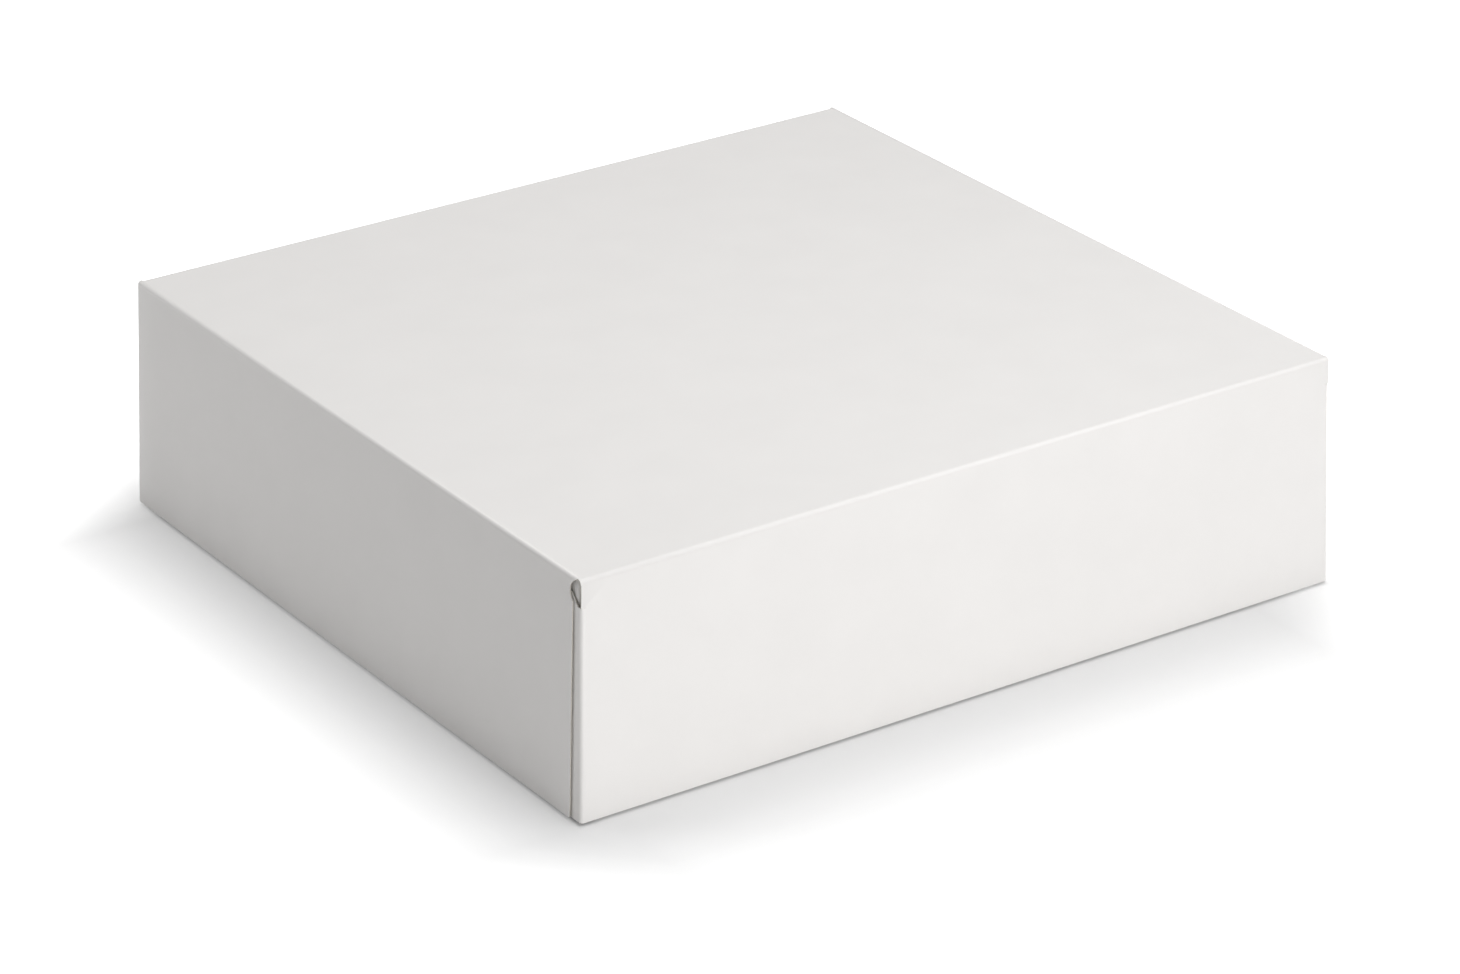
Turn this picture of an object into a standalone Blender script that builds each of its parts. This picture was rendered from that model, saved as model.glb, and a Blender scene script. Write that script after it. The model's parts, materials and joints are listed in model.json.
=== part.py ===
"""A white cake box of folding boxboard, built closed and at its real size, in metres.

One sheet is creased and glued into a square tray, and runs on over the tray's back wall as a lid
with three flaps. Each flat panel, each tab and each crease is an object of its own. +Z is up, the
front flap faces -Y, and the origin is on the table under the middle of the box.
"""

import math

import bmesh
import bpy
from mathutils import Matrix, Vector

MM = 0.001

# Driving sizes: the room inside the tray, the board, and the play between its layers
INSIDE_WIDTH = 280 * MM
INSIDE_DEPTH = 280 * MM
INSIDE_HEIGHT = 80 * MM
BOARD = 0.45 * MM
GAP = 0.3 * MM
SIDE_PLAY = 0.35 * MM
FRONT_PLAY = 0.65 * MM
LID_PLAY = 0.6 * MM
FLAP_CLEARANCE = 1.0 * MM
FLAP_LEAN = math.radians(2)

# Creases: how far one reaches into each panel, and the radius of its bend at mid thickness
CREASE_REACH = 1.1 * MM
BEND_RADIUS = 0.95 * MM
BEND_STEPS = 8

# Glue tabs inside the tray's corners
GLUE_TAB_LENGTH = 15 * MM
GLUE_TAB_TAPER = 4 * MM
GLUE_TAB_MARGIN = 1 * MM
GLUE_TAB_ROUND = 2 * MM

# Side flaps: the front edge is set back from the box's front, under a round relief at the crease
SET_BACK_TOP = 3.65 * MM
SET_BACK_FOOT = 5.3 * MM
RELIEF_RADIUS = 3.9 * MM
RELIEF_SET_BACK = 1.4 * MM
RELIEF_DROP = 4.5 * MM
RELIEF_STEPS = 20
FLAP_ROUND = 1 * MM

# Tuck tabs: each corner is so far back from the tab's fold, and so far down from the lid. The tab's
# foot is level up to a point that is also measured back from its fold.
TUCK_FOLD_TOP = 9.3 * MM
TUCK_NECK = (4.9 * MM, 5.4 * MM)
TUCK_SHOULDER = (9 * MM, 4.3 * MM)
TUCK_END_TOP = (38 * MM, 12 * MM)
TUCK_END_FOOT = (38 * MM, 66 * MM)
TUCK_LEVEL_FOOT = 12 * MM
TUCK_ROUND = 6 * MM
CORNER_STEPS = 5

BOARD_WHITE = (0.86, 0.855, 0.845, 1.0)
BOARD_ROUGHNESS = 0.45

# The outer size of the closed box, from the room inside and the layers around it
LID_WIDTH = INSIDE_WIDTH + 2 * (BOARD + SIDE_PLAY + BOARD + GAP + BOARD)
LID_DEPTH = BOARD + INSIDE_DEPTH + BOARD + FRONT_PLAY + BOARD
HEIGHT = BOARD + INSIDE_HEIGHT + LID_PLAY + BOARD

# The mid plane of each layer of board
FLOOR_Z = BOARD / 2
LID_Z = HEIGHT - BOARD / 2
SIDE_WALL_X = (INSIDE_WIDTH + BOARD) / 2
BACK_WALL_Y = (LID_DEPTH - BOARD) / 2
FRONT_WALL_Y = BACK_WALL_Y - INSIDE_DEPTH - BOARD
FRONT_TAB_Y = FRONT_WALL_Y + BOARD + GAP
BACK_TAB_Y = BACK_WALL_Y - BOARD - GAP
FRONT_FLAP_Y = (BOARD - LID_DEPTH) / 2
SIDE_FLAP_X = (LID_WIDTH - BOARD) / 2
TUCK_TAB_X = SIDE_FLAP_X - (BOARD + GAP) / math.cos(FLAP_LEAN)

# Where panels end: short of the line where two would meet, so that the crease has its room
PANEL_INSET = CREASE_REACH + GAP
FLOOR_END_X = SIDE_WALL_X - PANEL_INSET
SIDE_WALL_FRONT_Y = FRONT_TAB_Y + PANEL_INSET
SIDE_WALL_BACK_Y = BACK_TAB_Y - PANEL_INSET
END_WALL_X = SIDE_WALL_X + BOARD / 2
WALL_FOOT_Z = FLOOR_Z + PANEL_INSET
WALL_TOP_Z = BOARD + INSIDE_HEIGHT
LID_END_X = SIDE_FLAP_X - PANEL_INSET
LID_FRONT_Y = FRONT_FLAP_Y + PANEL_INSET
FLAP_DROP = LID_Z - FLAP_CLEARANCE
LEANING_FLAP_DROP = FLAP_DROP / math.cos(FLAP_LEAN)

X, Y, Z = Vector((1, 0, 0)), Vector((0, 1, 0)), Vector((0, 0, 1))
SIDES = (("left", -X), ("right", X))


def clear_scene():
    for obj in list(bpy.data.objects):
        bpy.data.objects.remove(obj)


def place(obj, placement, parent):
    """Puts an object where it lies on the closed box. A parent that turns carries it from there."""
    bpy.context.scene.collection.objects.link(obj)
    obj.matrix_basis = placement
    if parent:
        obj.parent = parent
        obj.matrix_parent_inverse = parent.matrix_basis.inverted()


def crease_axis(name, at, parent=None):
    """An empty on the line that a crease turns about."""
    axis = bpy.data.objects.new(name, None)
    axis.empty_display_size = INSIDE_HEIGHT / 4
    place(axis, Matrix.Translation(at), parent)
    return axis


def board_material(name):
    material = bpy.data.materials.new(f"{name}_board")
    material.use_nodes = True
    shader = material.node_tree.nodes["Principled BSDF"]
    shader.inputs["Base Color"].default_value = BOARD_WHITE
    shader.inputs["Roughness"].default_value = BOARD_ROUGHNESS
    shader.inputs["Metallic"].default_value = 0.0
    return material


def board_piece(name, bm, placement, parent):
    """Gives a surface the thickness of the board, half of it to each side."""
    mesh = bpy.data.meshes.new(name)
    bm.to_mesh(mesh)
    bm.free()
    mesh.materials.append(board_material(name))
    piece = bpy.data.objects.new(name, mesh)
    thickness = piece.modifiers.new("board", "SOLIDIFY")
    thickness.thickness = BOARD
    thickness.offset = 0
    thickness.use_even_offset = True
    place(piece, placement, parent)


def frame(at, across, up):
    """A placement at a point, whose own X and Y run along two directions square to each other."""
    placement = Matrix((across, up, across.cross(up))).transposed().to_4x4()
    placement.translation = at
    return placement


def rectangle(left, right, low, high):
    return [(left, low), (right, low), (right, high), (left, high)]


def panel(name, placement, outline, parent=None, rounded=()):
    """A flat piece of board. Each rounded corner is its number in the outline, and its radius."""
    bm = bmesh.new()
    corners = [bm.verts.new((across, up, 0)) for across, up in outline]
    bm.faces.new(corners)
    for number, radius in rounded:
        bmesh.ops.bevel(
            bm,
            geom=[corners[number]],
            offset=radius,
            offset_type="OFFSET",
            segments=CORNER_STEPS,
            profile=0.5,
            affect="VERTICES",
        )
    board_piece(name, bm, placement, parent)


def crease(name, start, end, first, second, parent=None):
    """A bent strip of board along the line from start to end, where two panels would meet.

    The first and the second direction lead from the line into each panel, square to the line.
    """
    angle = first.angle(second)
    tangent = BEND_RADIUS / math.tan(angle / 2)
    path = [(CREASE_REACH, 0)]
    for step in range(BEND_STEPS + 1):
        turned = (math.pi - angle) * step / BEND_STEPS
        path.append((tangent - BEND_RADIUS * math.sin(turned), BEND_RADIUS - BEND_RADIUS * math.cos(turned)))
    path.append((CREASE_REACH * math.cos(angle), CREASE_REACH * math.sin(angle)))

    placement = frame(start, first, (second - first * first.dot(second)).normalized())
    bm = bmesh.new()
    points = [bm.verts.new((across, up, 0)) for across, up in path]
    edges = [bm.edges.new(ends) for ends in zip(points, points[1:])]
    swept = bmesh.ops.extrude_edge_only(bm, edges=edges)["geom"]
    bmesh.ops.translate(
        bm,
        verts=[item for item in swept if isinstance(item, bmesh.types.BMVert)],
        vec=placement.to_3x3().inverted() @ (end - start),
    )
    board_piece(name, bm, placement, parent)


def build_tray_panels():
    panel(
        "base_floor",
        frame(Z * FLOOR_Z, X, Y),
        rectangle(-FLOOR_END_X, FLOOR_END_X, FRONT_WALL_Y + PANEL_INSET, BACK_WALL_Y - PANEL_INSET),
    )
    panel(
        "base_front_wall",
        frame(Y * FRONT_WALL_Y, X, Z),
        rectangle(-END_WALL_X, END_WALL_X, WALL_FOOT_Z, WALL_TOP_Z),
    )
    panel(
        "base_back_wall",
        frame(Y * BACK_WALL_Y, X, Z),
        rectangle(-END_WALL_X, END_WALL_X, WALL_FOOT_Z, LID_Z - PANEL_INSET),
    )
    for side, outward in SIDES:
        panel(
            f"base_{side}_wall",
            frame(outward * SIDE_WALL_X, Y, Z),
            rectangle(SIDE_WALL_FRONT_Y, SIDE_WALL_BACK_Y, WALL_FOOT_Z, WALL_TOP_Z),
        )


def build_floor_folds():
    for end, wall_y, inward in (("front", FRONT_WALL_Y, Y), ("back", BACK_WALL_Y, -Y)):
        corner = Y * wall_y + Z * FLOOR_Z
        crease(f"floor_fold_{end}", corner - X * FLOOR_END_X, corner + X * FLOOR_END_X, inward, Z)
    for side, outward in SIDES:
        corner = outward * SIDE_WALL_X + Z * FLOOR_Z
        front, back = corner + Y * SIDE_WALL_FRONT_Y, corner + Y * SIDE_WALL_BACK_Y
        crease(f"floor_fold_{side}", front, back, -outward, Z)


def build_glue_tabs():
    """The ends of the side walls, folded in behind the front wall and in front of the back wall."""
    foot, top = WALL_FOOT_Z + GLUE_TAB_MARGIN, WALL_TOP_Z - GLUE_TAB_MARGIN
    tip_x = FLOOR_END_X - GLUE_TAB_LENGTH
    outline = [
        (FLOOR_END_X, foot),
        (FLOOR_END_X, top),
        (tip_x, top - GLUE_TAB_TAPER),
        (tip_x, foot + GLUE_TAB_TAPER),
    ]
    rounded = [(2, GLUE_TAB_ROUND), (3, GLUE_TAB_ROUND)]
    for side, outward in SIDES:
        for end, tab_y, into_wall in (("front", FRONT_TAB_Y, Y), ("back", BACK_TAB_Y, -Y)):
            panel(f"glue_tab_{end}_{side}", frame(Y * tab_y, outward, Z), outline, rounded=rounded)
            corner = outward * SIDE_WALL_X + Y * tab_y
            crease(
                f"corner_fold_{end}_{side}",
                corner + Z * WALL_FOOT_Z,
                corner + Z * WALL_TOP_Z,
                -outward,
                into_wall,
            )


def build_lid():
    """The lid's panel and its hinge. Returns the axis that carries the lid and all of its flaps."""
    hinge = Y * BACK_WALL_Y + Z * LID_Z
    lid_axis = crease_axis("lid_axis", hinge)
    crease("lid_hinge_crease", hinge - X * END_WALL_X, hinge + X * END_WALL_X, -Y, -Z)
    panel(
        "lid_panel",
        frame(Z * LID_Z, X, Y),
        rectangle(-LID_END_X, LID_END_X, LID_FRONT_Y, BACK_WALL_Y - PANEL_INSET),
        lid_axis,
    )
    return lid_axis


def leaning_down(outward):
    """The direction down a side flap, and down the tuck tab that lies against its inside."""
    return outward * math.sin(FLAP_LEAN) - Z * math.cos(FLAP_LEAN)


def relief_edge():
    """The round relief from its foot up to the crease, as points set back and down from the corner."""
    foot_angle = math.acos((SET_BACK_TOP - RELIEF_SET_BACK) / RELIEF_RADIUS)
    top_angle = -math.asin((RELIEF_DROP - PANEL_INSET) / RELIEF_RADIUS)
    points = []
    for step in range(RELIEF_STEPS + 1):
        angle = foot_angle + (top_angle - foot_angle) * step / RELIEF_STEPS
        set_back = RELIEF_SET_BACK + RELIEF_RADIUS * math.cos(angle)
        points.append((set_back, RELIEF_DROP + RELIEF_RADIUS * math.sin(angle)))
    return points


def build_side_flap(side, outward, lid_axis):
    corner = outward * SIDE_FLAP_X + Z * LID_Z
    down = leaning_down(outward)
    front_y, back_y = -LID_DEPTH / 2, LID_DEPTH / 2
    crease_start, crease_end = corner + Y * LID_FRONT_Y, corner + Y * back_y
    crease(f"{side}_flap_crease", crease_start, crease_end, -outward, down, lid_axis)
    outline = [
        (back_y, PANEL_INSET),
        (back_y, LEANING_FLAP_DROP),
        (front_y + SET_BACK_FOOT, LEANING_FLAP_DROP),
    ]
    outline += [(front_y + set_back, drop) for set_back, drop in relief_edge()]
    panel(
        f"lid_{side}_flap",
        frame(corner, Y, down),
        outline,
        crease_axis(f"{side}_flap_axis", corner, lid_axis),
        rounded=[(1, FLAP_ROUND), (2, FLAP_ROUND)],
    )


def front_flap_side():
    """The front flap's right edge, from the crease down, as points across and down from its middle.

    Above the tab's fold it is a cut edge, flush with the tab. Below, it stops short of the fold.
    """
    fold_top = TUCK_FOLD_TOP - GAP
    cut_x = TUCK_TAB_X + BOARD / 2 / math.cos(FLAP_LEAN)
    fold_x = TUCK_TAB_X - PANEL_INSET / math.cos(FLAP_LEAN)
    edge = [(cut_x, PANEL_INSET), (cut_x, fold_top), (fold_x, fold_top), (fold_x, FLAP_DROP)]
    return [(across + down * math.tan(FLAP_LEAN), down) for across, down in edge]


def build_front_flap(lid_axis):
    corner = Y * FRONT_FLAP_Y + Z * LID_Z
    crease_end = X * (SIDE_FLAP_X - BOARD / 2)
    crease("front_flap_crease", corner - crease_end, corner + crease_end, Y, -Z, lid_axis)
    flap_axis = crease_axis("front_flap_axis", corner, lid_axis)
    right_edge = front_flap_side()
    left_edge = [(-across, down) for across, down in reversed(right_edge)]
    panel("lid_front_flap", frame(corner, X, -Z), right_edge + left_edge, flap_axis)
    return flap_axis


def build_tuck_tab(side, outward, flap_axis):
    """A tab on the front flap's side edge, folded back behind the side flap."""
    down = leaning_down(outward)
    corner = outward * TUCK_TAB_X + Y * FRONT_FLAP_Y + Z * LID_Z
    into_flap = -outward * math.cos(FLAP_LEAN) - Z * math.sin(FLAP_LEAN)
    crease(
        f"tuck_fold_{side}",
        corner + down * TUCK_FOLD_TOP,
        corner + down * LEANING_FLAP_DROP,
        into_flap,
        Y,
        flap_axis,
    )
    outline = [
        (PANEL_INSET, TUCK_FOLD_TOP),
        TUCK_NECK,
        TUCK_SHOULDER,
        TUCK_END_TOP,
        TUCK_END_FOOT,
        (TUCK_LEVEL_FOOT, LEANING_FLAP_DROP),
        (PANEL_INSET, LEANING_FLAP_DROP),
    ]
    rounded = [(3, TUCK_ROUND), (4, TUCK_ROUND)]
    panel(f"tuck_tab_{side}", frame(corner, Y, down), outline, flap_axis, rounded)


def main():
    clear_scene()
    build_tray_panels()
    build_floor_folds()
    build_glue_tabs()
    lid_axis = build_lid()
    flap_axis = build_front_flap(lid_axis)
    for side, outward in SIDES:
        build_side_flap(side, outward, lid_axis)
        build_tuck_tab(side, outward, flap_axis)


main()
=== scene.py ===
"""The looks of a white cake box of folding boxboard.

Every flat panel is a sheet cut to the frame's own outline, and every crease is bent between the two
panels that it joins, so that the coated face runs on unbroken from one piece to the next.
"""

import json
import math

import bmesh
import bpy
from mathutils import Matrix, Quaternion, Vector


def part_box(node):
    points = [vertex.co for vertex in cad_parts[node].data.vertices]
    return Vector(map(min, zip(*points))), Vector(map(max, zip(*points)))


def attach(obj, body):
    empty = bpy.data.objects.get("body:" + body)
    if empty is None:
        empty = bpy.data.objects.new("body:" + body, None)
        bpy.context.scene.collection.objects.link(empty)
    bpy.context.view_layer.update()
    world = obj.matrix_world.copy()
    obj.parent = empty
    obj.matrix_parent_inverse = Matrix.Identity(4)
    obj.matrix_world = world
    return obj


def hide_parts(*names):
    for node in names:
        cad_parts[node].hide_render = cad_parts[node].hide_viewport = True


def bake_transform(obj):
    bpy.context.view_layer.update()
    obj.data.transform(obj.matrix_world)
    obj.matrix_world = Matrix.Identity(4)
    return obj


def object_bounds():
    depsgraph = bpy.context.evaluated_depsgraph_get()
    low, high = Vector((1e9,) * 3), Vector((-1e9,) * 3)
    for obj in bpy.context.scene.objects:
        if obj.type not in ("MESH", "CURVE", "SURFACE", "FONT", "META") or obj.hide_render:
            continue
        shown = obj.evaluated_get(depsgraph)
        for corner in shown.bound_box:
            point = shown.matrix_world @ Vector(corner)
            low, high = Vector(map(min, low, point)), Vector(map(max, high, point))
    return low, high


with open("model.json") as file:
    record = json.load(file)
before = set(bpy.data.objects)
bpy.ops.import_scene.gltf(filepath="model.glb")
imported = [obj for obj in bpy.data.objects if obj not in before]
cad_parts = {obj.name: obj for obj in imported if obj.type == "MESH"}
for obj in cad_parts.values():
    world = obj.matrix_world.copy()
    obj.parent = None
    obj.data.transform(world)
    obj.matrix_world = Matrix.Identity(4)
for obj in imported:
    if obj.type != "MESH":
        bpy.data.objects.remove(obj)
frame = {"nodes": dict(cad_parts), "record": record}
cad_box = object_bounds()

MM = 0.001
X, Y, Z = Vector((1, 0, 0)), Vector((0, 1, 0)), Vector((0, 0, 1))
MIDDLE = (cad_box[0] + cad_box[1]) / 2
HALF_BOX = (cad_box[1] - cad_box[0]) / 2
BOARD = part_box("lid_panel")[1].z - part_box("lid_panel")[0].z

# Each crease, with the panel and the side of it that the crease starts from, and the same at its end
CREASES = {
    "floor_fold_front": (("base_floor", -Y), ("base_front_wall", -Z)),
    "floor_fold_back": (("base_floor", Y), ("base_back_wall", -Z)),
    "floor_fold_left": (("base_floor", -X), ("base_left_wall", -Z)),
    "floor_fold_right": (("base_floor", X), ("base_right_wall", -Z)),
    "corner_fold_front_left": (("base_left_wall", -Y), ("glue_tab_front_left", -X)),
    "corner_fold_front_right": (("base_right_wall", -Y), ("glue_tab_front_right", X)),
    "corner_fold_back_left": (("base_left_wall", Y), ("glue_tab_back_left", -X)),
    "corner_fold_back_right": (("base_right_wall", Y), ("glue_tab_back_right", X)),
    "lid_hinge_crease": (("base_back_wall", Z), ("lid_panel", Y)),
    "front_flap_crease": (("lid_panel", -Y), ("lid_front_flap", Z)),
    "left_flap_crease": (("lid_panel", -X), ("lid_left_flap", Z)),
    "right_flap_crease": (("lid_panel", X), ("lid_right_flap", Z)),
    "tuck_fold_left": (("lid_front_flap", -X), ("tuck_tab_left", -Y)),
    "tuck_fold_right": (("lid_front_flap", X), ("tuck_tab_right", -Y)),
}

# How far the middle of a panel, or of its free edge, stands out of the flat
BOWS = {
    "lid_panel": 0.35 * MM,
    "lid_front_flap": 0.3 * MM,
    "lid_left_flap": 0.35 * MM,
    "lid_right_flap": 0.35 * MM,
    "base_front_wall": 0.25 * MM,
    "base_back_wall": 0.15 * MM,
    "base_left_wall": 0.3 * MM,
    "base_right_wall": 0.3 * MM,
}

# The round cut at the front of a side flap runs on up into its crease, so far round the bend
CUT_THROUGH = ("left_flap_crease", "right_flap_crease")
CUT_THROUGH_RUN = 1.5 * MM

# The tuck folds run up to the cut edge above them
FOLD_OVERRUN = {"tuck_fold_left": 0.28 * MM, "tuck_fold_right": 0.28 * MM}

# The side walls spring outward and press the tuck tabs against the side flaps
PRESSED_OUT = {
    "base_left_wall": 0.45 * MM,
    "base_right_wall": 0.45 * MM,
    "tuck_tab_left": 0.15 * MM,
    "tuck_tab_right": 0.15 * MM,
}

# How far the loose back corner of a side flap stands out further than its front corner
FLARES = {"lid_left_flap": 2.5 * MM, "lid_right_flap": 2.5 * MM}

# A side flap curls off the tuck tab towards its front edge, from nothing at its crease to this much below it
CURL = 0.2 * MM
CURL_REACH = 12 * MM
CURL_BELOW_CREASE = 12 * MM

# The size of the cells that a panel is cut into so that it can bow, and the least length of a creased edge
GRID = 12 * MM
SHORTEST_CREASED_EDGE = 60 * MM

# Cut edges are rounded by this much, and only turns above this angle look sharp
EDGE_SOFTNESS = 0.06 * MM
SOFT_EDGE_STEPS = 2
SHARP_ANGLE = math.radians(35)

# A crease's radius at the middle of the board, and how far its pressed bead stands out of the back
BEND_RADIUS = 0.95 * MM
BEND_STEPS = 12
BEAD = 0.12 * MM

# Holds how stretched the coat is, from 0 at the ends of a bend to 1 at its middle
STRETCH = "stretch"

# The finishes' places on every piece
COATED, UNCOATED, CUT = range(3)

# Points closer than this are one point, and places closer than the second touch
SAME_POINT = 0.001 * MM
TOUCHING = 0.01 * MM

# Two directions count as one, as on the same side, or as mostly alike, if their cosine is above these
SAME_WAY = 0.98
SAME_SIDE = 0.7
MOSTLY = 0.5

# Neighbouring faces that turn by less than this are one flat face
FLAT_WITHIN = math.radians(1)

# A slanting direction, along which no two points of a panel lie equally far
ORDER = Vector((1.0, math.sqrt(2), math.pi))

# Nearly all of a cloudy pattern lies between these values
PATTERN_LOW, PATTERN_HIGH = 0.3, 0.7

WHITE = (1.0, 1.0, 1.0, 1.0)


# Finishes

def linear(hex_colour):
    """A colour written as sRGB hex, as the linear values that shaders take."""
    channels = [int(hex_colour[at : at + 2], 16) / 255 for at in (1, 3, 5)]
    return (*[c / 12.92 if c <= 0.04045 else ((c + 0.055) / 1.055) ** 2.4 for c in channels], 1.0)


def add_node(tree, kind, inputs=(), **settings):
    """Adds a shader node. Each input is its name or number, and a value or the socket that feeds it."""
    node = tree.nodes.new(kind)
    for name, value in settings.items():
        setattr(node, name, value)
    for name, value in dict(inputs).items():
        if isinstance(value, bpy.types.NodeSocket):
            tree.links.new(value, node.inputs[name])
        else:
            node.inputs[name].default_value = value
    return node


def new_material(name):
    """A material with an empty node tree, and the place on the object that its patterns are laid out on."""
    material = bpy.data.materials.new(name)
    material.use_nodes = True
    tree = material.node_tree
    tree.nodes.clear()
    place = add_node(tree, "ShaderNodeTexCoord").outputs["Object"]
    return material, tree, place


def mottle(tree, place, size, detail=2.0, distortion=0.0):
    """A cloudy pattern whose patches are about this size."""
    settings = {"Vector": place, "Scale": 1 / size, "Detail": detail, "Distortion": distortion}
    return add_node(tree, "ShaderNodeTexNoise", settings).outputs["Fac"]


def ramp(tree, value, start, end, low, high, **settings):
    """Goes from the low result to the high one as the value goes from start to end, and holds beyond."""
    inputs = {"Value": value, "From Min": start, "From Max": end, "To Min": low, "To Max": high}
    return add_node(tree, "ShaderNodeMapRange", inputs, **settings).outputs["Result"]


def between(tree, pattern, low, high):
    """The pattern, which lies about its middle, spread from the low value to the high one."""
    return ramp(tree, pattern, PATTERN_LOW, PATTERN_HIGH, low, high)


def calculate(tree, operation, *values, kind="ShaderNodeMath", **settings):
    """The result of an operation on values and sockets."""
    return add_node(tree, kind, dict(enumerate(values)), operation=operation, **settings).outputs[0]


def relief(tree, pattern, strength, depth, **inputs):
    """The surface's slope where the pattern presses it, at most this deep."""
    settings = {"Height": pattern, "Strength": strength, "Distance": depth, **inputs}
    return add_node(tree, "ShaderNodeBump", settings).outputs[0]


def blend_colours(tree, factor, first, second):
    """The first colour where the factor is 0, the second where it is 1. Each is a hex colour or a socket."""
    mix = add_node(tree, "ShaderNodeMix", {"Factor": factor}, data_type="RGBA")
    for socket, colour in ((mix.inputs[6], first), (mix.inputs[7], second)):
        if isinstance(colour, bpy.types.NodeSocket):
            tree.links.new(colour, socket)
        else:
            socket.default_value = linear(colour)
    return mix.outputs[2]


def finish_with(tree, shader):
    """Makes the shader the material's surface."""
    add_node(tree, "ShaderNodeOutputMaterial", {"Surface": shader.outputs[0]})


def clay_coated_board():
    """Pigment-coated and calendered board: an even, faintly warm white with a broad, soft sheen.

    Close up, the coat is slightly cloudy, and has the very fine pitted relief that the rolls leave.
    Along a crease it is stretched: a little whiter and duller.
    """
    material, tree, place = new_material("clay_coated_board")
    stretch = add_node(tree, "ShaderNodeAttribute", attribute_name=STRETCH).outputs["Fac"]
    cloud = between(tree, mottle(tree, place, 22 * MM, detail=3.0), 0.0, 1.0)
    coat = blend_colours(tree, cloud, "#F0EEEC", "#F2F0EE")
    colour = blend_colours(tree, stretch, coat, "#F5F3F1")
    pits = mottle(tree, place, 0.5 * MM, detail=2.0)
    waviness = mottle(tree, place, 7 * MM, detail=1.0)
    fine_relief = relief(tree, pits, 0.12, 0.012 * MM)
    sheen = between(tree, mottle(tree, place, 1.6 * MM), 0.57, 0.64)
    settings = {
        "Base Color": colour,
        "Roughness": calculate(tree, "MULTIPLY_ADD", stretch, 0.12, sheen),
        "IOR": 1.5,
        "Normal": relief(tree, waviness, 0.25, 0.03 * MM, Normal=fine_relief),
    }
    finish_with(tree, add_node(tree, "ShaderNodeBsdfPrincipled", settings))
    return material


def uncoated_board():
    """The board's bare back: matt, creamier than the coat, cloudy where the pulp lay thicker.

    Its pressed fibres show as short hair-thin flecks, drawn at twice their real width so that they show.
    """
    material, tree, place = new_material("uncoated_board")
    pulp_cloud = between(tree, mottle(tree, place, 5 * MM, detail=4.0), 0.0, 1.0)
    pulp = blend_colours(tree, pulp_cloud, "#E6E2D8", "#EDE9E0")
    fibres = 0.0
    for squeeze in ((1.0, 7.0, 7.0), (7.0, 1.0, 7.0)):
        drawn_out = add_node(tree, "ShaderNodeMapping", {"Vector": place, "Scale": squeeze}).outputs[0]
        lying_so = mottle(tree, drawn_out, 1.2 * MM, detail=3.0, distortion=0.8)
        fibres = calculate(tree, "MAXIMUM", fibres, lying_so)
    flecks = ramp(tree, fibres, 0.60, 0.78, 0.0, 0.55)
    settings = {
        "Base Color": blend_colours(tree, flecks, pulp, "#D9D2C3"),
        "Roughness": between(tree, pulp_cloud, 0.78, 0.9),
        "IOR": 1.45,
        "Normal": relief(tree, fibres, 0.5, 0.03 * MM),
    }
    finish_with(tree, add_node(tree, "ShaderNodeBsdfPrincipled", settings))
    return material


def cut_edge_and_seam_shade():
    """Die-cut edge of the board: the crushed fibres of its core, duller than either face, and greyer partly
    as painted shade that darkens the seams at the box's front corners.
    """
    material, tree, place = new_material("cut_edge_and_seam_shade")
    crushed = mottle(tree, place, 0.16 * MM, detail=4.0, distortion=0.5)
    settings = {
        # The grey is partly the core's own colour and partly painted shade for the dark seams beside the
        # side flaps' front edges
        "Base Color": blend_colours(tree, between(tree, crushed, 0.0, 1.0), "#BEBAB2", "#D1CDC4"),
        "Roughness": between(tree, crushed, 0.85, 0.97),
        "IOR": 1.45,
        "Normal": relief(tree, crushed, 0.6, 0.03 * MM),
    }
    finish_with(tree, add_node(tree, "ShaderNodeBsdfPrincipled", settings))
    return material


BOARD_FINISHES = [clay_coated_board(), uncoated_board(), cut_edge_and_seam_shade()]


# Board

class Panel:
    """A flat piece of board as the frame holds it: the outline of its coated face, and how it faces."""

    def __init__(self, node):
        self.node = node
        bm = bmesh.new()
        bm.from_mesh(frame["nodes"][node].data)
        bmesh.ops.remove_doubles(bm, verts=bm.verts, dist=SAME_POINT)
        bmesh.ops.dissolve_limit(bm, angle_limit=FLAT_WITHIN, verts=bm.verts, edges=bm.edges)
        flat_faces = sorted(bm.faces, key=lambda face: face.calc_area())[-2:]
        coated = max(flat_faces, key=lambda face: face.normal.dot(face.calc_center_median() - MIDDLE))
        self.facing = coated.normal.copy()
        pressed = self.facing * PRESSED_OUT.get(node, 0)
        self.outline = [corner.co + pressed for corner in coated.verts]
        bm.free()
        level = abs(self.facing.z) > MOSTLY
        self.across = X if level else Z.cross(self.facing).normalized()
        self.up = self.facing.cross(self.across)

    def creased_edge(self, side):
        """A corner on the edge that is creased on this side, and the edge's direction out of the panel."""
        for start, end in zip(self.outline, self.outline[1:] + self.outline[:1]):
            out = (end - start).cross(self.facing).normalized()
            if (end - start).length > SHORTEST_CREASED_EDGE and out.dot(side) > SAME_WAY:
                return start, out
        raise ValueError(f"{self.node} has no long edge towards {side}")

    def reach(self, axis):
        """Where along an axis the panel starts and ends."""
        places = [axis.dot(corner) for corner in self.outline]
        return min(places), max(places)

    def share(self, axis, point):
        """How far along an axis of the panel a point lies, from 0 at one end to 1 at the other."""
        low, high = self.reach(axis)
        return (axis.dot(point) - low) / (high - low)


def bulge(panel, sides, point):
    """How much of its bow a panel has here: none at a crease, all at the middle of it or its free edge."""
    along = math.sin(math.pi * panel.share(panel.across, point))
    up = panel.share(panel.up, point)
    creased_low = any(side.dot(panel.up) < -SAME_WAY for side in sides)
    creased_high = any(side.dot(panel.up) > SAME_WAY for side in sides)
    if creased_low and creased_high:
        return along * math.sin(math.pi * up)
    return along * (up if creased_low else 1 - up) ** 2


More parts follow.
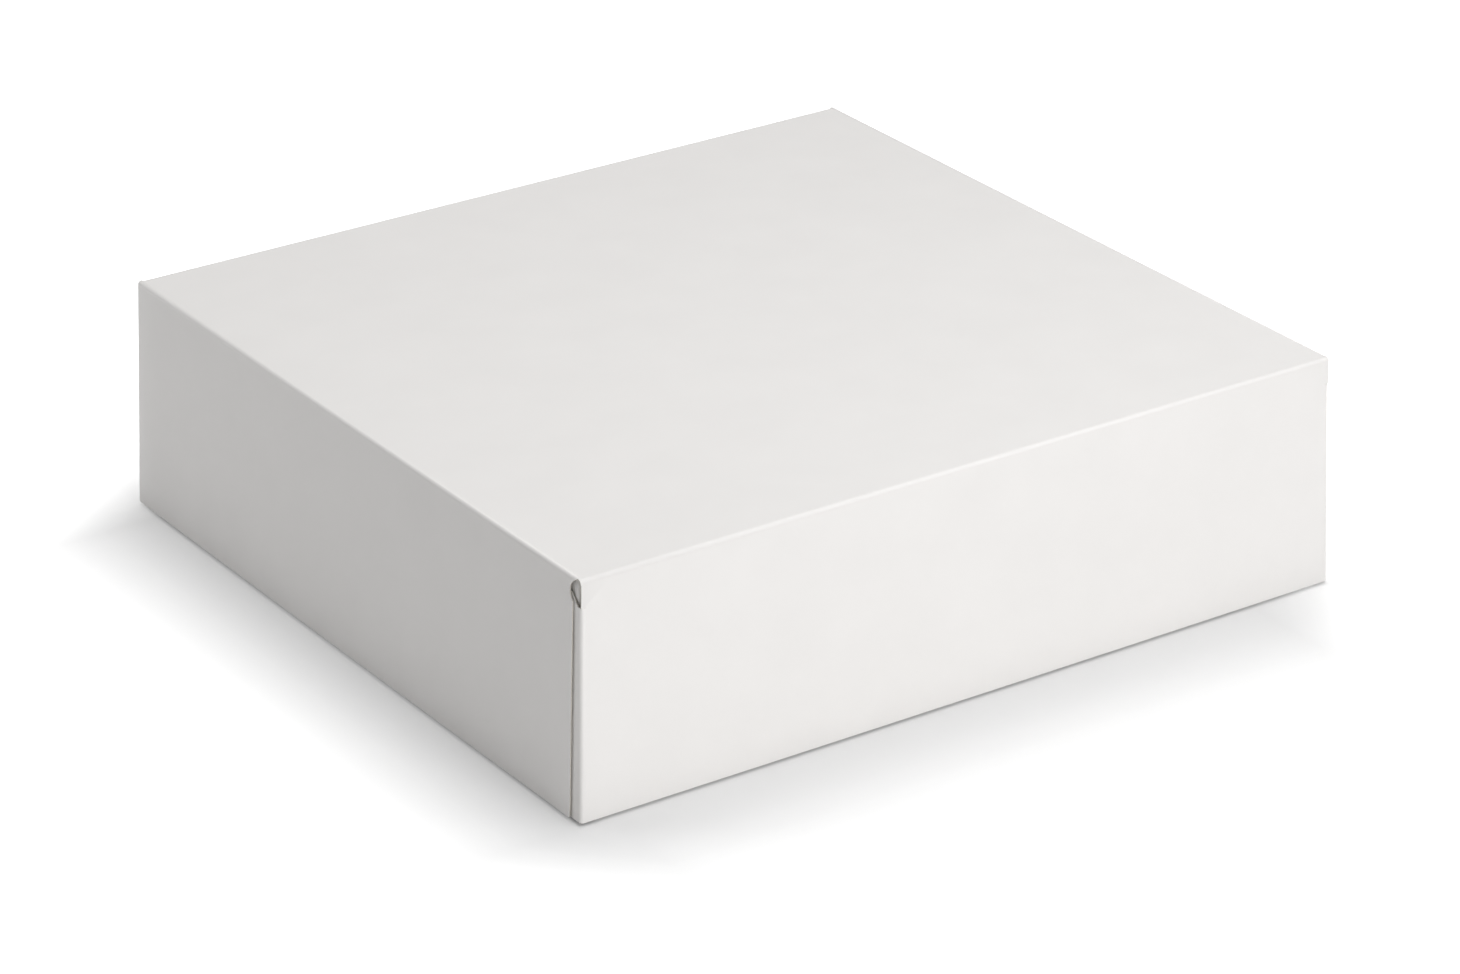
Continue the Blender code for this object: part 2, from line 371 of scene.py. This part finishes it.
def standing_out(panel, sides, point):
    """How far this point of a panel stands out of the flat: its bow, and any flare and curl."""
    out = BOWS.get(panel.node, 0) * bulge(panel, sides, point)
    if panel.node in FLARES:
        out += FLARES[panel.node] * panel.share(Y, point) * (1 - panel.share(panel.up, point))
        from_front = point.y - panel.reach(Y)[0]
        from_crease = panel.reach(panel.up)[1] - panel.up.dot(point)
        out += CURL * max(0, 1 - from_front / CURL_REACH) * min(1, from_crease / CURL_BELOW_CREASE)
    return out


def add_object(name, data):
    thing = bpy.data.objects.new(name, data)
    bpy.context.scene.collection.objects.link(thing)
    return thing


def finish_board(bm, name, softened):
    """Softens these edges, and makes the piece, with its coated, bare and cut faces."""
    bmesh.ops.bevel(
        bm,
        geom=softened,
        offset=EDGE_SOFTNESS,
        offset_type="OFFSET",
        segments=SOFT_EDGE_STEPS,
        profile=0.5,
        affect="EDGES",
        clamp_overlap=True,
    )
    mesh = bpy.data.meshes.new(name)
    bm.to_mesh(mesh)
    bm.free()
    mesh.shade_smooth()
    mesh.set_sharp_from_angle(angle=SHARP_ANGLE)
    for material in BOARD_FINISHES:
        mesh.materials.append(material)
    return add_object(name, mesh)


def cut_into_cells(bm, panel):
    """Cuts the panel's flat face into cells that are small enough for it to bow smoothly."""
    for axis in (panel.across, panel.up):
        low, high = panel.reach(axis)
        cells = max(1, round((high - low) / GRID))
        for cut in range(1, cells):
            at = axis * (low + (high - low) * cut / cells)
            everything = bm.verts[:] + bm.edges[:] + bm.faces[:]
            bmesh.ops.bisect_plane(bm, geom=everything, dist=SAME_POINT, plane_co=at, plane_no=axis)


def put_in_order(bm):
    """Orders points, edges and faces by where they lie, because sweeping leaves them in any order."""
    bm.verts.sort(key=lambda vert: ORDER.dot(vert.co))
    bm.edges.sort(key=lambda edge: ORDER.dot(edge.verts[0].co + edge.verts[1].co))
    bm.faces.sort(key=lambda face: ORDER.dot(face.calc_center_median()))
    for parts in (bm.verts, bm.edges, bm.faces):
        parts.index_update()


def build_sheet(panel, sides):
    """The panel as board: a fine sheet with its bow, its two faces and its softened cut edges."""
    bm = bmesh.new()
    bm.faces.new([bm.verts.new(corner) for corner in panel.outline])
    cut_into_cells(bm, panel)
    for vert in bm.verts:
        vert.co += panel.facing * standing_out(panel, sides, vert.co)
    swept = bmesh.ops.extrude_face_region(bm, geom=bm.faces[:])["geom"]
    back = [item for item in swept if isinstance(item, bmesh.types.BMVert)]
    bmesh.ops.translate(bm, verts=back, vec=-panel.facing * BOARD)
    bmesh.ops.recalc_face_normals(bm, faces=bm.faces)
    put_in_order(bm)

    creased =[panel.creased_edge(side) for side in sides]
    joined = set()
    for face in bm.faces:
        outward = face.normal.dot(panel.facing)
        face.material_index = COATED if outward > SAME_SIDE else UNCOATED if outward < -SAME_SIDE else CUT
        centre = face.calc_center_median()
        for at, out in creased:
            if out.dot(face.normal) > SAME_WAY and abs(out.dot(centre - at)) < TOUCHING:
                joined.add(face)
    softened = [
        edge
        for edge in bm.edges
        if len({face.material_index for face in edge.link_faces}) > 1 and not joined & set(edge.link_faces)
    ]
    return finish_board(bm, f"{panel.node}_sheet", softened)


def bend_path(panel, side, other, other_side):
    """The middle of the board from one panel's edge round to the next one's: points, and how each faces."""
    edge, out = panel.creased_edge(side)
    other_edge, other_out = other.creased_edge(other_side)
    start = edge - panel.facing * BOARD / 2
    end = other_edge - other.facing * BOARD / 2
    corner = start + out * (end - start).dot(other.facing) / out.dot(other.facing)
    end = corner - other_out * (corner - end).dot(other_out)
    turn = panel.facing.angle(other.facing)
    centre = corner - (panel.facing + other.facing).normalized() * BEND_RADIUS / math.cos(turn / 2)

    path = [(start, panel.facing, 0.0)]
    for step in range(BEND_STEPS + 1):
        share = step / BEND_STEPS
        facing = panel.facing * math.sin((1 - share) * turn) + other.facing * math.sin(share * turn)
        facing = facing / math.sin(turn)
        path.append((centre + facing * BEND_RADIUS, facing, math.sin(math.pi * share)))
    path.append((end, other.facing, 0.0))
    return path


def bend_ends(node, path, along, other):
    """Where a crease ends along its line, low and high, for each point of the way round it."""
    places = [along.dot(vert.co) for vert in frame["nodes"][node].data.vertices]
    low, high = min(places), max(places) + FOLD_OVERRUN.get(node, 0)
    if node not in CUT_THROUGH:
        return [(low, high)] * len(path)
    creased_z = other.reach(Z)[1]
    cut = min(along.dot(corner) for corner in other.outline if corner.z > creased_z - TOUCHING)
    ends = []
    for point, _facing, _bent in path:
        still_cut = max(0, 1 - (point - path[-1][0]).length / CUT_THROUGH_RUN)
        ends.append((low + (cut - low) * still_cut, high))
    return ends


def build_bend(node, panel, side, other, other_side):
    """A crease as board: stretched round on its coated side, with the pressed bead along its back."""
    path = bend_path(panel, side, other, other_side)
    along = panel.facing.cross(other.facing).normalized()
    if along.z < -MOSTLY or along.y < -MOSTLY:
        along = -along
    bm = bmesh.new()
    stretch = bm.verts.layers.float.new(STRETCH)
    rows = []
    for (point, facing, bent), ends in zip(path, bend_ends(node, path, along, other)):
        row = []
        for height in ends:
            at = point + along * (height - along.dot(point))
            outer = bm.verts.new(at + facing * BOARD / 2)
            inner = bm.verts.new(at - facing * (BOARD / 2 + BEAD * bent**2))
            outer[stretch] = bent
            row.append((outer, inner))
        rows.append(row)
    cut_edges = []
    for (low, high), (next_low, next_high) in zip(rows, rows[1:]):
        bm.faces.new((low[0], next_low[0], next_high[0], high[0])).material_index = COATED
        bm.faces.new((low[1], high[1], next_high[1], next_low[1])).material_index = UNCOATED
        for first, second in ((low, next_low), (high, next_high)):
            bm.faces.new((first[0], first[1], second[1], second[0])).material_index = CUT
            cut_edges += [bm.edges.get((first[layer], second[layer])) for layer in (0, 1)]
    for low, high in (rows[0], rows[-1]):
        bm.faces.new((low[0], high[0], high[1], low[1])).material_index = CUT
    bmesh.ops.recalc_face_normals(bm, faces=bm.faces)
    return finish_board(bm, f"{node}_bend", cut_edges), path[0][0], path[-1][0]


def build_board():
    """Every panel on its body, and every crease on its panels' body, or left in place where its panels are
    on two bodies.
    """
    bodies = frame["record"]["behaviour"]["bodies"]
    node_body = {node: body for body, nodes in bodies.items() for node in nodes}
    panels, creased_sides = {}, {}
    for ends in CREASES.values():
        for node, side in ends:
            panels.setdefault(node, Panel(node))
            creased_sides.setdefault(node, []).append(side)

    for node, panel in panels.items():
        sheet = build_sheet(panel, creased_sides[node])
        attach(sheet, node_body[node])
        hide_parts(node)

    for node, ((first, side), (second, second_side)) in CREASES.items():
        bend, start, end = build_bend(node, panels[first], side, panels[second], second_side)
        first_body, second_body = node_body[first], node_body[second]
        if first_body == second_body:
            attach(bend, first_body)
        else:
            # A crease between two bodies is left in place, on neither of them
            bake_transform(bend)
        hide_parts(node)


build_board()


# Studio

def lit_or_seen(tree, lit, seen):
    """The first shader for the light that falls on the box, the second for what a view or a gloss shows."""
    paths = add_node(tree, "ShaderNodeLightPath").outputs
    is_seen = paths["Is Camera Ray"]
    for ray in ("Is Glossy Ray", "Is Transmission Ray"):
        is_seen = calculate(tree, "MAXIMUM", is_seen, paths[ray])
    return add_node(tree, "ShaderNodeMixShader", {0: is_seen, 1: lit.outputs[0], 2: seen.outputs[0]})


ROOM_LIGHT = 0.01
FLOOR_SIZE = 8.0
FLOOR_CELLS = 8

# The floor's white in the light that it throws on the box, and in view, where the painted glow is added
FLOOR_WHITE = "#EDEDED"
FLOOR_SEEN_WHITE = "#C8C8C8"

# Measured outward from the box's edges: where the painted glow starts, which leaves a painted contact shadow
# at the foot, and the width over which it comes on
CONTACT_SHADOW_START = Vector((-2.2 * MM, -4 * MM, 0))
CONTACT_SHADOW_WIDTH = Vector((2.7 * MM, 5.5 * MM, 1))
PAINTED_GLOW_BESIDE_BOX = 0.27

# On each side, how far inside the box's edge the painted glow starts to fade the shadow out, and how far
# outside the shadow is gone
SHADOW_FADES = {
    "left": (10 * MM, 98 * MM),
    "right": (32 * MM, 40 * MM),
    "front": (0 * MM, 120 * MM),
    "back": (13 * MM, 50 * MM),
}
SHADOW_FADE_CURVE = 1.6


def build_world():
    """A white backdrop in a dim room: it is seen as pure white, and lights the box only a little."""
    world = bpy.data.worlds.new("white_studio")
    world.use_nodes = True
    tree = world.node_tree
    tree.nodes.clear()
    lit = add_node(tree, "ShaderNodeBackground", {"Color": WHITE, "Strength": ROOM_LIGHT})
    seen = add_node(tree, "ShaderNodeBackground", {"Color": WHITE, "Strength": 1.0})
    add_node(tree, "ShaderNodeOutputWorld", {"Surface": lit_or_seen(tree, lit, seen).outputs[0]})
    bpy.context.scene.world = world


def painted_glow_beside_box(tree, place):
    """Painted glow just outside the box, and none under its foot, which follows the side flaps' flare: this
    leaves a painted contact shadow along the foot.
    """
    y = add_node(tree, "ShaderNodeSeparateXYZ", {0: place}).outputs["Y"]
    flare = ramp(tree, y, -HALF_BOX.y, HALF_BOX.y, 0.0, FLARES["lid_left_flap"])
    flare = add_node(tree, "ShaderNodeCombineXYZ", {"X": flare}).outputs[0]
    outward = calculate(tree, "ABSOLUTE", place, kind="ShaderNodeVectorMath")
    for less in (flare, HALF_BOX + CONTACT_SHADOW_START):
        outward = calculate(tree, "SUBTRACT", outward, less, kind="ShaderNodeVectorMath")
    outward = calculate(tree, "DIVIDE", outward, CONTACT_SHADOW_WIDTH, kind="ShaderNodeVectorMath")
    past_side, past_end, _z = add_node(tree, "ShaderNodeSeparateXYZ", {0: outward}).outputs
    past_foot = calculate(tree, "MAXIMUM", past_side, past_end)
    return ramp(tree, past_foot, 0.0, 1.0, 0.0, PAINTED_GLOW_BESIDE_BOX, interpolation_type="SMOOTHSTEP")


def painted_glow_further_out(tree, place):
    """Painted glow that grows away from the box until its shadow is gone: a painted fade of the shadow, set
    side by side.
    """
    x, y, _z = add_node(tree, "ShaderNodeSeparateXYZ", {0: place}).outputs
    fade = 0.0
    for name, distance, edge in (
        ("left", x, -HALF_BOX.x),
        ("right", x, HALF_BOX.x),
        ("front", y, -HALF_BOX.y),
        ("back", y, HALF_BOX.y),
    ):
        inside, outside = [math.copysign(length, edge) for length in SHADOW_FADES[name]]
        share = ramp(tree, distance, edge - inside, edge + outside, 0.0, 1.0)
        fade = calculate(tree, "ADD", fade, share, use_clamp=True)
    return calculate(tree, "POWER", fade, SHADOW_FADE_CURVE)


def white_sweep():
    """A matt white paper floor. In view it gets a painted glow, none at the box's foot and more further out,
    which paints the contact shadow and the fading of the box's shadow.
    """
    material, tree, place = new_material("white_sweep")
    # Painted glow on the floor, which shapes the box's shadow around it
    strength = calculate(tree, "ADD", painted_glow_further_out(tree, place), painted_glow_beside_box(tree, place))
    painted_glow = add_node(tree, "ShaderNodeEmission", {"Color": WHITE, "Strength": strength})
    paper = add_node(tree, "ShaderNodeBsdfDiffuse", {"Color": linear(FLOOR_WHITE)})
    seen_paper = add_node(tree, "ShaderNodeBsdfDiffuse", {"Color": linear(FLOOR_SEEN_WHITE)})
    seen = add_node(tree, "ShaderNodeAddShader", {0: seen_paper.outputs[0], 1: painted_glow.outputs[0]})
    finish_with(tree, lit_or_seen(tree, paper, seen))
    return material


def build_floor():
    bm = bmesh.new()
    bmesh.ops.create_grid(bm, x_segments=FLOOR_CELLS, y_segments=FLOOR_CELLS, size=FLOOR_SIZE / 2)
    mesh = bpy.data.meshes.new("floor")
    bm.to_mesh(mesh)
    bm.free()
    mesh.materials.append(white_sweep())
    floor = add_object("floor", mesh)


# Each softbox: where it stands from the middle of the box, its side, and its power
SOFTBOXES = {
    "front_softbox": (Vector((0.0, -1.9, 0.4)), 0.9, 15.8),
    "left_softbox": (Vector((-1.35, 1.15, 0.92)), 0.9, 10.6),
    "overhead_softbox": (Vector((0.26, 0.31, 1.58)), 0.9, 9.8),
    "over_front_softbox": (Vector((0.15, -0.45, 0.8)), 0.6, 3.4),
}


def build_softboxes():
    for name, (stand, side, power) in SOFTBOXES.items():
        light = bpy.data.lights.new(name, "AREA")
        light.shape = "SQUARE"
        light.size = side
        light.energy = power
        lamp = add_object(name, light)
        lamp.location = MIDDLE + stand
        lamp.rotation_mode = "QUATERNION"
        lamp.rotation_quaternion = (-stand).to_track_quat("-Z", "Y")


# Camera: where the photograph was taken from, and how
LOOK_AZIMUTH = math.radians(32.91)
LOOK_DOWN = math.radians(24.93)
ROLL = math.radians(-1.06)
STANDPOINT = Vector((-816.2, -1265.1, 720.0)) * MM
FOCAL_LENGTH_PX = 4969
PHOTO_WIDTH_PX = 1460
SENSOR_WIDTH_MM = 36


def build_camera():
    look = Vector(
        (
            math.sin(LOOK_AZIMUTH) * math.cos(LOOK_DOWN),
            math.cos(LOOK_AZIMUTH) * math.cos(LOOK_DOWN),
            -math.sin(LOOK_DOWN),
        )
    )
    data = bpy.data.cameras.new("camera")
    data.sensor_fit = "HORIZONTAL"
    data.sensor_width = SENSOR_WIDTH_MM
    data.lens = SENSOR_WIDTH_MM * FOCAL_LENGTH_PX / PHOTO_WIDTH_PX
    data.clip_start = 0.05
    data.clip_end = 50
    camera = add_object("camera", data)
    camera.location = STANDPOINT
    camera.rotation_mode = "QUATERNION"
    camera.rotation_quaternion = look.to_track_quat("-Z", "Y") @ Quaternion(Z, ROLL)
    bpy.context.scene.camera = camera


build_world()
build_floor()
build_softboxes()
build_camera()
bpy.context.scene.view_settings.view_transform = "Standard"
